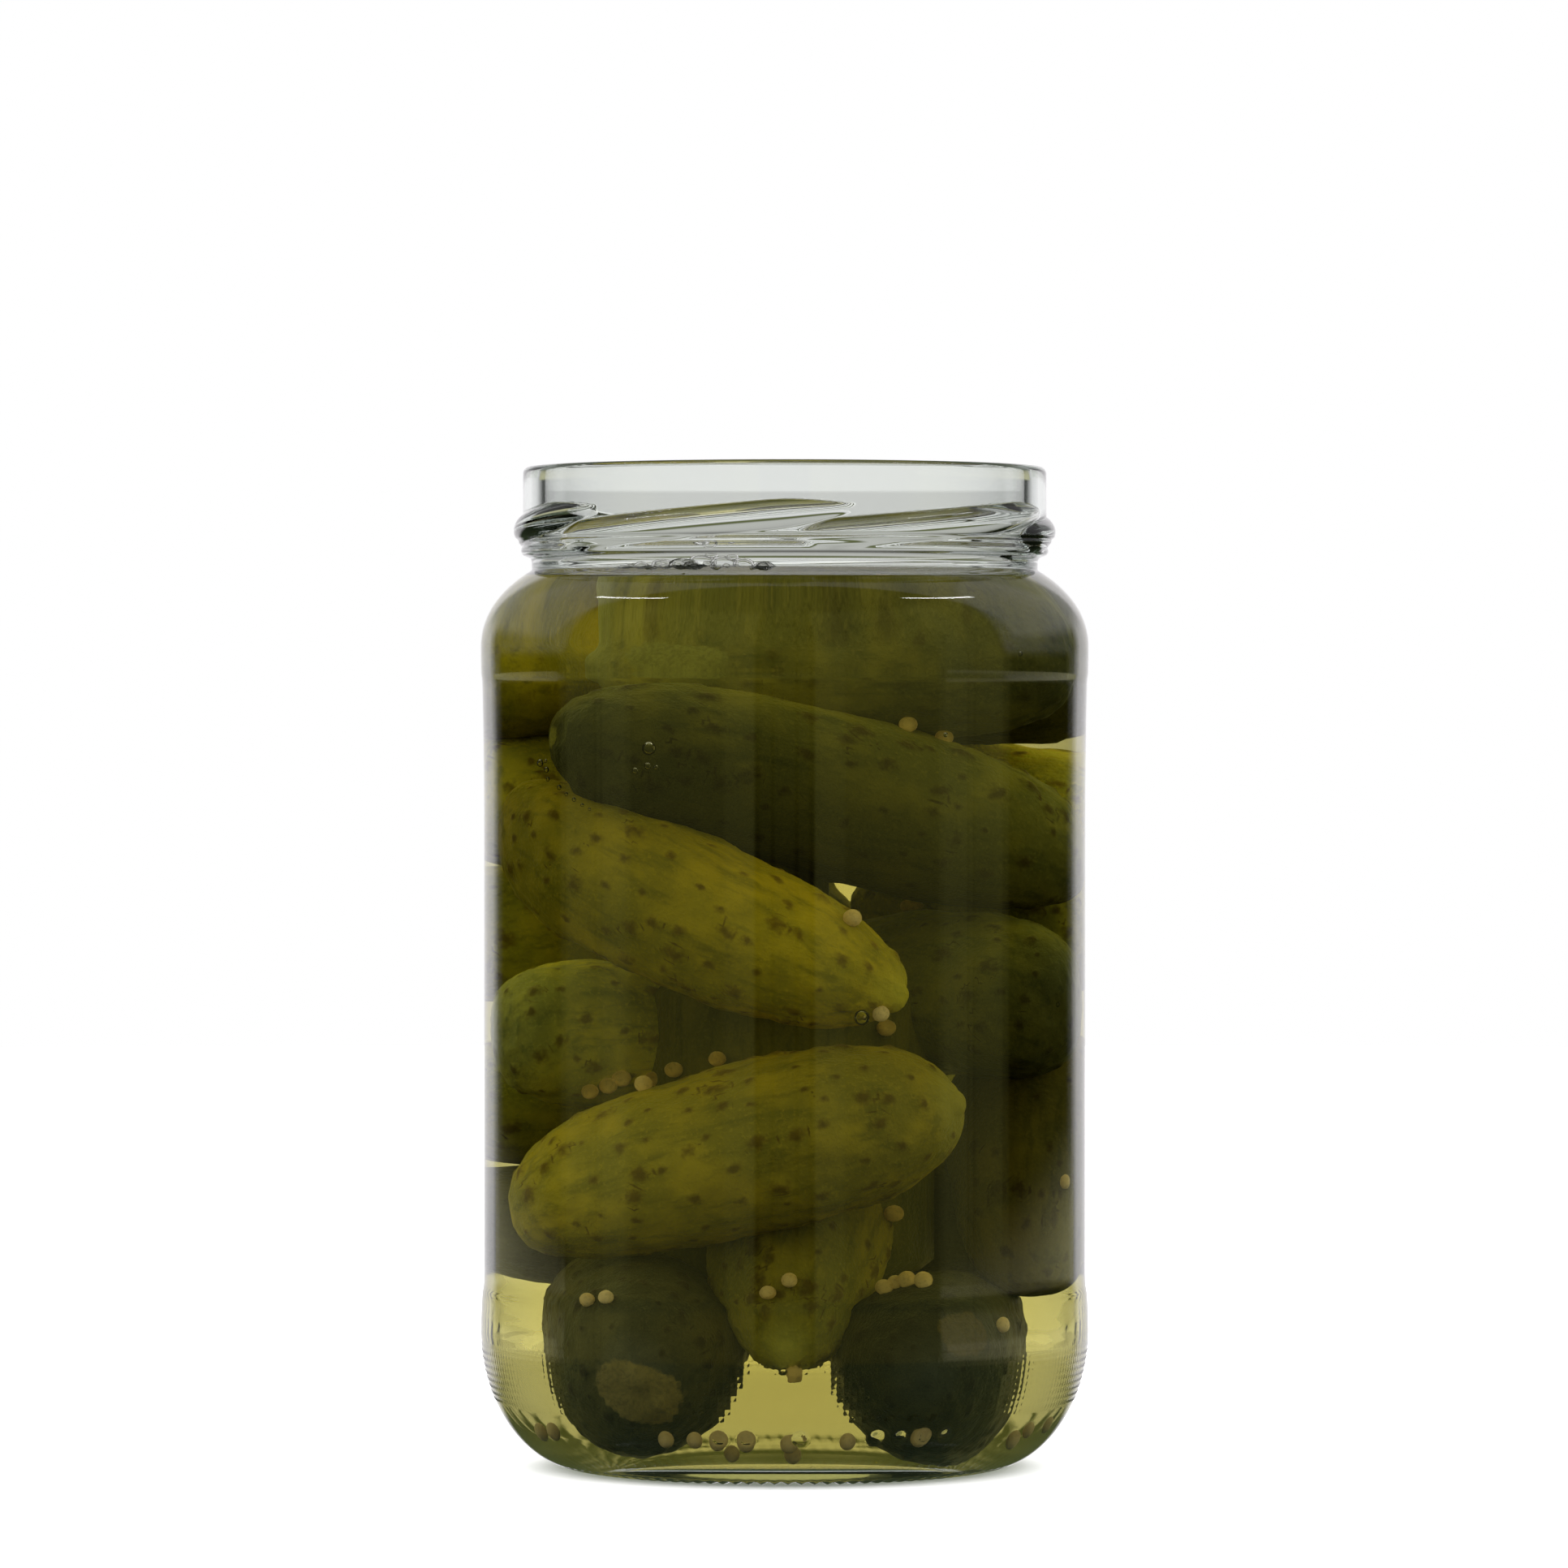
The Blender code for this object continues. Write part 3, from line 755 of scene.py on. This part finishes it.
seedSizes = {"Segments": 14, "Rings": 9, "Radius": 1.2, "Lumps": 0.10, "Seed": 3}
sunk = 0.35       # share of its radius that a seed is sunk in the gherkin
wallClear = 0.5   # what lies in the jar keeps this far from its glass, in mm
floorSeedLift = 1.45  # centre of a seed over the edge of the jar's floor, in mm
seedScale = {"between": (0.93, 1.1), "draw": 11}
frontSeeds = (
    (15.3, 113.1), (19.4, 111.2),
    (8.8, 83.3), (13.5, 84.7), (12.8, 70.2), (12, 67.1),
    (-24.2, 57.9), (-21.9, 58.8), (-20.2, 59.8), (-18.3, 58.3), (-15.9, 59.6), (-12.9, 60.8),
    (-8.1, 62.6),
    (12.7, 39.4), (13.2, 28.2), (14.6, 28.9), (16.2, 29.3), (18.6, 29.4),
    (-27.1, 26.4), (-24.5, 27.1), (-31.2, 20.3), (-1.8, 28.4), (0.7, 30.2), (0.9, 17.9),
    (25.2, 22.3), (27.7, 21.2), (29.3, 23),
)
otherSeeds = {"count": 14, "angles": (75.0, 285.0), "heights": (30.0, 118.0), "draw": 7}
floorSeeds = (  # X and Y in mm, on the floor of the jar
    (-33.5, -14), (-32, -17.5), (-16.6, -31.8), (-12.6, -33.6), (-9.4, -34.2), (-7.3, -32), (-5.4, -35),
    (1.1, -32.4), (0.6, -35.3), (8.8, -34.6), (18.8, -30.8), (31.4, -16), (33.6, -14.5), (36, -9),
)


def seedPaths():
    # where each seed starts at the glass, and the level way it goes in from there
    draw = random.Random(otherSeeds["draw"])
    radius = jarShape["cavityRadius"] * mm
    paths = [(Vector((x * mm, -radius, height * mm)), Vector((0, 1, 0))) for x, height in frontSeeds]
    low, high = otherSeeds["angles"]
    for i in range(otherSeeds["count"]):
        share = (i + draw.random()) / otherSeeds["count"]
        angle = math.radians(low + share * (high - low))
        out = Vector((math.sin(angle), -math.cos(angle), 0))
        height = draw.uniform(*otherSeeds["heights"]) * mm
        paths.append((out * radius + Vector((0, 0, height)), -out))
    return paths


def floorLevel(reach):
    # height of a seed's centre on the floor, which curves up where it meets the wall
    s = jarShape
    curved = max(0.0, reach - s["cornerCenter"] + seedSizes["Radius"])
    share = curved / (s["cavityRadius"] - s["cornerCenter"])
    rise = s["cornerRise"] * (1 - math.sqrt(max(0.0, 1 - share ** 2)))
    return s["floorHeight"] + floorSeedLift + rise


def seedPlaces(heap):
    size = seedSizes["Radius"] * mm
    limit = jarShape["cavityRadius"] * mm - size - wallClear * mm
    surfaces = [BVHTree.FromObject(piece, bpy.context.evaluated_depsgraph_get()) for piece in heap]
    places = []
    for start, inward in seedPaths():
        hits = [surface.ray_cast(start, inward) for surface in surfaces]
        hits = [hit for hit in hits if hit[0] is not None]
        if hits:
            place, normal, _, _ = min(hits, key=lambda hit: hit[3])
            center = place + normal * size * (1 - sunk)
            if center.xy.length < limit:
                places.append(center)
    places += [Vector((x, y, floorLevel(math.hypot(x, y)))) * mm for x, y in floorSeeds]
    return places


def scatterTree(name, hollow=False, innerShare=None):
    # an uneven ball on every point, sized by the point's own "size"; a hollow one is a hole in a
    # liquid, and one with an inner share is a shell
    tree = newGroup(name)
    for label, value in {"Segments": 16, "Rings": 12, "Seed": 0, "Radius": 1.0, "Lumps": 0.0}.items():
        addInput(tree, label, "NodeSocketInt" if isinstance(value, int) else "NodeSocketFloat", value)
    addInput(tree, "Material", "NodeSocketMaterial")
    start = tree.nodes.new("NodeGroupInput")
    end = tree.nodes.new("NodeGroupOutput")
    size = start.outputs
    ball = addNode(tree, "GeometryNodeMeshUVSphere", (size["Segments"], size["Rings"], 0.001))
    shape = ball.outputs["Mesh"]
    if hollow:
        shape = addNode(tree, "GeometryNodeFlipFaces", (shape,)).outputs[0]
    if innerShare:
        inner = addNode(tree, "GeometryNodeTransform", (shape,))
        feed(inner, "Scale", [innerShare] * 3)
        inner = addNode(tree, "GeometryNodeFlipFaces", (inner.outputs[0],))
        both = addNode(tree, "GeometryNodeJoinGeometry")
        feed(both, 0, inner.outputs[0])
        feed(both, 0, shape)
        shape = both.outputs[0]
    turn = addNode(tree, "FunctionNodeRandomValue", data_type="FLOAT_VECTOR")
    feed(turn, "Max", (6.28, 6.28, 6.28))
    feed(turn, "Seed", size["Seed"])
    scale = times(pointValue(tree, "size"), size["Radius"])
    values = (start.outputs[0], None, shape, None, None, turn.outputs[0], scale)
    balls = addNode(tree, "GeometryNodeInstanceOnPoints", values)
    real = addNode(tree, "GeometryNodeRealizeInstances", (balls.outputs[0],))
    place = addNode(tree, "GeometryNodeInputPosition").outputs[0]
    lumps = minus(noiseLevel(place, 700.0, 2.0), 0.5)
    push = times(lumps, times(size["Lumps"], 0.002))
    offset = scaled(addNode(tree, "GeometryNodeInputNormal").outputs[0], push)
    moved = addNode(tree, "GeometryNodeSetPosition", (real.outputs[0], None, None, offset))
    smooth = addNode(tree, "GeometryNodeSetShadeSmooth", (moved.outputs[0],))
    finish = addNode(tree, "GeometryNodeSetMaterial", (smooth.outputs[0], None, size["Material"]))
    feed(end, 0, finish.outputs[0])
    return tree


def scattered(name, places, sizes, tree, values, material):
    points = meshObject(name, places, [])
    made = points.data.attributes.new("size", "FLOAT", "POINT")
    made.data.foreach_set("value", np.array(sizes, dtype=np.float32))
    return shaped(points, tree, {**values, "Material": material})


# two tones of skin, a darker colour painted as shade on seeds near the jar's floor, below that height in
# metres, and dark flecks
seedLook = {
    "tones": ((0.82, 0.59, 0.18), (0.92, 0.70, 0.27)), "low": (0.62, 0.45, 0.16), "paintedShadeBelow": (0.014, 0.010),
    "fleck": (0.24, 0.15, 0.05), "roughness": (0.42, 0.6), "specular": 0.25,
}


def seedMaterial():
    material, tree, shader, _ = newMaterial("mustardSeed")
    look = seedLook
    place = addNode(tree, "ShaderNodeTexCoord").outputs["Object"]
    broad = noiseLevel(place, 260.0, 2.0)
    fine = noiseLevel(place, 1900.0, 2.0)
    color = mixed(ease(broad, 0.35, 0.65), *look["tones"])
    height = axes(place)[2]
    # painted shade: seeds near the jar's floor are darker
    color = faded(height, look["paintedShadeBelow"], color, look["low"])
    color = mixed(ease(fine, 0.5, 0.7, 0.0, 0.25), color, look["fleck"])
    feed(shader, "Base Color", color)
    feed(shader, "Roughness", ease(fine, 0.3, 0.7, *look["roughness"]))
    feed(shader, "Specular IOR Level", look["specular"])
    return material


# brine: a filling that reaches just into the glass, with air bubbles in it and foam at its surface

brineForm = {"level": 132.9, "climb": 0.5, "intoGlass": 0.12, "columns": 208}
bubbles = (  # X, depth from the front glass, height, radius, in mm
    (-19.3, 2, 108.8, 1.05), (-21.3, 1.5, 105.5, 0.5), (-19.5, 1.6, 106.2, 0.55), (-18.3, 1.4, 106, 0.35),
    (-34, 6, 106.6, 0.6), (-33.2, 5.5, 105.6, 0.45), (-33.4, 5, 106.9, 0.3),
    (-33, 5.6, 104.2, 0.35), (-31.6, 4.6, 103, 0.4), (-30.7, 4, 102, 0.3), (-29.7, 3.6, 101.2, 0.35),
    (-28.6, 3.2, 100.4, 0.3), (-27.6, 3, 99.8, 0.25),
    (11, 1.3, 69.4, 1.15), (33.2, 3, 122.8, 0.35), (37.6, 8, 70.4, 0.4), (37.9, 8.3, 67.6, 0.35),
    (38.4, 9, 69, 0.3), (22.9, 1.5, 110.8, 0.35),
)
bubbleSizes = {"Segments": 14, "Rings": 9, "Radius": 1.0, "Seed": 1}
# small bubbles by a seeded rule, between two directions in degrees from the front
foam = {
    "count": 60, "from": -48.0, "to": -4.0, "sizes": (0.35, 0.5, 0.6, 0.9, 1.3), "innerShare": 0.74,
    "lift": 0.75, "pile": 2.2, "gap": 0.1, "spread": 1.2, "draw": 5,
}
foamSizes = {"Segments": 14, "Rings": 9, "Radius": 1.0, "Seed": 5}
bigFoam = (  # degrees from the front, height over the brine, radius in mm
    (-20.5, 3.6, 1.9), (-15, 3, 2), (-31, 2.5, 1.8), (-26, 2.4, 2.1), (-37, 2, 1.6),
    (-10, 2.6, 1.7), (-17.8, 5.2, 1.1), (-42, 1.8, 1.3), (-5.5, 2, 1.4), (-23, 2, 1.5),
    (-12.6, 4.4, 1), (-34, 1.6, 1.3),
)
bigFoamGap = 0.2


def brineRings():
    # the cavity's own line up to the edge of the liquid, then its surface, which climbs at the glass
    f = brineForm
    top = f["level"] + f["climb"]
    wall = cavityLine(f["intoGlass"])
    line = [(r, z) for r, z in wall if z < top - 0.1]
    (lowRadius, low), (highRadius, high) = line[-1], next(point for point in wall if point[1] > top)
    edge = lowRadius + (highRadius - lowRadius) * (top - low) / (high - low)
    line.append((edge, top))
    for depth in (0.25, 0.5, 0.8, 1.2, 1.7, 2.4, 3.4, 5.0, 8.0):
        line.append((edge - depth, f["level"] + f["climb"] * math.exp(-depth)))
    line += [(r, f["level"]) for r in (20.0, 8.0, 0)]
    return [(r, z, f["columns"]) for r, z in line]


def buildBrine(material):
    verts, faces, _ = turnedShell(brineRings())
    brine = meshObject("brine", verts, [face[::-1] for face in faces], material)
    inside = jarShape["cavityRadius"]
    places = [Vector((x, -math.sqrt(inside ** 2 - x ** 2) + depth, z)) * mm for x, depth, z, _ in bubbles]
    holes = scattered("bubbles", places, [radius for _, _, _, radius in bubbles],
                      scatterTree("airBubbles", hollow=True), bubbleSizes, material)
    brine = joined(brine, [holes])
    brine.data.shade_smooth()
    return brine


def onSurface(angle, reach, lift):
    return Vector((reach * math.sin(angle), -reach * math.cos(angle), brineForm["level"] + lift)) * mm


def buildFoam(material):
    mouth = jarShape["mouthRadius"]
    draw = random.Random(foam["draw"])
    places, sizes = [], []
    for _ in range(foam["count"]):
        share = draw.random()
        angle = math.radians(foam["from"] + (foam["to"] - foam["from"]) * share)
        size = draw.choice(foam["sizes"]) * draw.uniform(0.8, 1.2)
        reach = mouth - foam["gap"] - size - draw.uniform(0, foam["spread"])
        pile = foam["pile"] * draw.random() ** 2 * math.sin(math.pi * share)
        places.append(onSurface(angle, reach, foam["lift"] + foam["lift"] * size + pile))
        sizes.append(size)
    for degrees, lift, size in bigFoam:
        places.append(onSurface(math.radians(degrees), mouth - bigFoamGap - size, lift))
        sizes.append(size)
    tree = scatterTree("foamBubbles", innerShare=foam["innerShare"])
    return scattered("foam", places, sizes, tree, foamSizes, material)


jar = buildJar()
dressed(jar, "jar")

skin = skinMaterial()
heap = (
    heapPiece("gherkinsUpper", inFront[:4], skin),
    heapPiece("gherkinsLower", inFront[4:], skin),
    heapPiece("gherkinsBack", [name for name in gherkins if name not in inFront], skin, core=True),
)
for piece in heap:
    dressed(piece, "gherkins")

places = seedPlaces(heap)
draw = random.Random(seedScale["draw"])
seedScales = [draw.uniform(*seedScale["between"]) for _ in places]
seeds = scattered("mustardSeeds", places, seedScales, scatterTree("seedScatter"), seedSizes, seedMaterial())
dressed(seeds, "gherkins")
print("seeds:", len(places))

brine = buildBrine(clearMaterial("brine", brineLook))
froth = buildFoam(clearMaterial("foam", foamLook))
dressed(brine, "gherkins")
dressed(froth, "gherkins")
print("brine and foam:", len(brine.data.polygons), len(froth.data.polygons), "faces")


# floor, studio and camera

studio = {"floorRadius": 1.6, "floorColor": (0.88, 0.88, 0.88), "shadedThroughGlass": (0.36, 0.36, 0.35)}
backFrom = 147  # degrees from the front; the floor behind starts here


def floorMaterial():
    material, tree, shader, _ = newMaterial("paleFloor")
    path = addNode(tree, "ShaderNodeLightPath").outputs
    # painted shade: the floor seen through the glass takes a darker colour than the floor seen directly
    color = mixed(path["Is Transmission Ray"], studio["floorColor"], studio["shadedThroughGlass"])
    feed(shader, "Base Color", color)
    feed(shader, "Roughness", 0.9)
    feed(shader, "Specular IOR Level", 0.0)
    return material


def floorSector(name, first, last, material):
    # part of the round floor, between two directions in degrees from the front
    radius = studio["floorRadius"]
    steps = round((last - first) / 3)
    verts = [(0, 0, 0)]
    for i in range(steps + 1):
        angle = math.radians(first + (last - first) * i / steps)
        verts.append((radius * math.sin(angle), -radius * math.cos(angle), 0))
    faces = [(0, i + 1, i + 2) for i in range(steps)]
    sector = meshObject(name, verts, faces, material)
    sector.data.polygons.foreach_set("use_smooth", [False] * len(faces))
    sector.visible_glossy = False  # the glass mirrors the studio below, so the floor isn't mirrored twice
    return sector


floor = floorMaterial()
floorSector("floorBack", backFrom, 360 - backFrom, floor)
frontFloor = floorSector("floorFront", -backFrom, backFrom, floor)
frontFloor.visible_transmission = False  # it would show as haze in the inner wall

# what the glass mirrors, by degrees from the front: soft boxes with a dark gap, flags, then the white wall
mirrored = (
    (0, 0.05), (3.9, 0.05), (4.2, 0.022), (5, 0.022), (5.3, 0.05), (9, 0.05), (10, 0.015),
    (11, 0.015), (12, 0.15), (23, 0.15), (23.5, 0.115), (62.5, 0.12), (63.5, 0.2), (76, 0.19),
    (76.4, 0.07), (77, 0.07), (77.4, 0.15), (94, 0.14), (95.5, 0.004), (142, 0.004),
    (150, 1), (180, 1),
)
# brightness and colours of the studio. Turn is in degrees from the front, rise in degrees over the horizon,
# and a pair of degrees is where something starts to show and where it shows in full.
studioLevels = {
    "backdrop": 1, "backdropTop": (60, 22), "backdropEdge": (100, 112), "overhead": 0.12,
    "boxGreen": 0.98, "boxBlue": 0.3, "boxTop": (52, 44), "boxOverhead": 0.012,
    "flagTop": (4, 14), "flagTurn": (97, 160), "aboveFlags": 0.42,
    "wallRise": (20, 30), "wallTurn": (140, 150), "wall": (0.25, 0.26, 0.22),
    "lamp": 14, "lampBlue": 0.97, "lampTurn": (80, 113), "lampRise": (53.1, 54.6),
    "lampLean": 0.4, "lampMiddle": 97,
    "under": (0.05, 0.07, 0.035), "underMirrored": (-8, -14), "underThrough": (-9, -20),
    "upward": (0.16, 0.18, 0.08), "upwardRise": (8, 11), "upwardTilt": -0.1,
    "highRise": (13, 17), "highTurn": (150, 165), "high": 0.62,
    "neck": 0.76, "neckRise": (0.6, 1),
    "front": 2.7, "back": 3.6, "backTurn": (50, 105), "above": 3, "aboveRise": (20, 60),
    "below": 1.3, "belowRise": (0, -20),
}
# the floor in front of the flags, which shows between them and the jar: where it starts on the left and
# on the right, where it ends, and the rise of its far edge as foot + slope * turn
apronForm = {
    "level": (0.5, 0.475, 0.275), "left": 96, "right": 64, "end": (147, 145),
    "slope": 0.015, "foot": -5.1, "edge": (0.35, -0.9), "fade": (-12, -6), "farShare": 0.25,
}


def gray(level):
    return (level, level, level)


def within(value, low, high, soft):
    return times(ease(value, low - soft, low + soft), ease(value, high + soft, high - soft))


def softBoxes(turn):
    ramp = addNode(turn.id_data, "ShaderNodeValToRGB", (calc("DIVIDE", turn, 180.0),))
    stops = ramp.color_ramp.elements
    while len(stops) > 1:
        stops.remove(stops[-1])
    for i, (degrees, level) in enumerate(mirrored):
        stop = stops[0] if i == 0 else stops.new(degrees / 180)
        stop.position = degrees / 180
        blue = studioLevels["boxBlue"] if level < 0.5 else 1.0
        stop.color = (level, level * studioLevels["boxGreen"], level * blue, 1)
    return ramp.outputs[0]


def apronShare(side, turn, rise):
    a = apronForm
    foot = calc("MULTIPLY_ADD", turn, a["slope"], a["foot"])
    shown = ease(minus(rise, foot), *a["edge"])
    start = calc("MULTIPLY_ADD", calc("GREATER_THAN", side, 0.0), a["right"] - a["left"], a["left"])
    started = ease(minus(turn, start), -1.0, 1.0)
    shown = times(shown, times(started, ease(turn, *a["end"])))
    return times(shown, ease(rise, *a["fade"], a["farShare"], 1.0))


def studioAround(side, turn, rise):
    s = studioLevels
    color = faded(rise, s["boxTop"], gray(s["boxOverhead"]), softBoxes(turn))
    above = times(ease(rise, *s["flagTop"]), within(turn, *s["flagTurn"], 3.0))
    color = mixed(above, color, gray(s["aboveFlags"]))
    wall = times(ease(rise, *s["wallRise"]), ease(turn, *s["wallTurn"]))
    color = mixed(wall, color, s["wall"])
    return mixed(apronShare(side, turn, rise), color, apronForm["level"])


def studioMirrored(around, turn, rise):
    s = studioLevels
    lampRise = calc("MULTIPLY_ADD", minus(turn, s["lampMiddle"]), s["lampLean"], rise)
    lamp = times(within(turn, *s["lampTurn"], 1.0), within(lampRise, *s["lampRise"], 0.3))
    color = mixed(lamp, around, (s["lamp"], s["lamp"], s["lamp"] * s["lampBlue"]))
    return faded(rise, s["underMirrored"], color, s["under"])


def studioThrough(around, seen, turn, rise):
    s = studioLevels
    color = faded(turn, s["backdropEdge"], around, seen)
    color = faded(rise, s["underThrough"], color, s["under"])
    high = times(ease(rise, *s["highRise"], 0.0, s["high"]), ease(turn, *s["highTurn"]))
    tilted = calc("MULTIPLY_ADD", minus(180.0, turn), s["upwardTilt"], rise)
    upward = times(ease(tilted, *s["upwardRise"]), minus(1.0, high))
    color = mixed(upward, color, tinted(color, s["upward"]))
    return faded(rise, s["neckRise"], color, tinted(color, gray(s["neck"])))


def studioFill(turn, rise):
    s = studioLevels
    color = faded(turn, s["backTurn"], gray(s["front"]), gray(s["back"]))
    color = faded(rise, s["aboveRise"], color, gray(s["above"]))
    return faded(rise, s["belowRise"], color, gray(s["below"]))


def buildWorld():
    # one studio for what lights the pieces, and one each for what is mirrored, seen through glass and seen
    s = studioLevels
    world = bpy.data.worlds.new("studio")
    scene.world = world
    world.use_nodes = True
    tree = world.node_tree
    tree.nodes.clear()
    way = addNode(tree, "ShaderNodeTexCoord").outputs["Generated"]
    side, depth, height = axes(way)
    turn = calc("DEGREES", calc("ABSOLUTE", calc("ARCTAN2", side, times(depth, -1.0))))
    rise = calc("DEGREES", calc("ARCSINE", height))
    around = studioAround(side, turn, rise)
    mirror = studioMirrored(around, turn, rise)
    seen = faded(rise, s["backdropTop"], gray(s["overhead"]), gray(s["backdrop"]))
    through = studioThrough(around, seen, turn, rise)
    fill = studioFill(turn, rise)
    path = addNode(tree, "ShaderNodeLightPath").outputs
    direct = calc("LESS_THAN", path["Diffuse Depth"], 0.5)
    reflected = times(calc("GREATER_THAN", path["Glossy Depth"], 0.5), direct)
    refracted = times(path["Is Transmission Ray"], direct)
    color = mixed(refracted, fill, through)
    color = mixed(reflected, color, mirror)
    color = mixed(path["Is Camera Ray"], color, seen)
    background = addNode(tree, "ShaderNodeBackground", (color, 1.0))
    addNode(tree, "ShaderNodeOutputWorld", (background.outputs[0],))


buildWorld()
print("studio ready")

cameraSetup = {"lens": 186.34, "sensor": 36.0, "place": (-0.0001, -1.229, 0.1126), "downward": 0.435}
view = bpy.data.cameras.new("camera")
view.lens = cameraSetup["lens"]
view.sensor_width = cameraSetup["sensor"]
view.clip_start, view.clip_end = 0.01, 30.0
camera = bpy.data.objects.new("camera", view)
scene.collection.objects.link(camera)
camera.location = cameraSetup["place"]
camera.rotation_euler = (math.radians(90 - cameraSetup["downward"]), 0, 0)
scene.camera = camera

# enough for light to pass both glass walls, the brine and its bubbles
bounces = {
    "max_bounces": 16, "transmission_bounces": 14, "transparent_max_bounces": 24,
    "diffuse_bounces": 3, "glossy_bounces": 6,
}
scene.view_settings.view_transform = "Standard"
scene.cycles.caustics_reflective = False
scene.cycles.caustics_refractive = False
for name, count in bounces.items():
    setattr(scene.cycles, name, count)

bpy.context.view_layer.update()
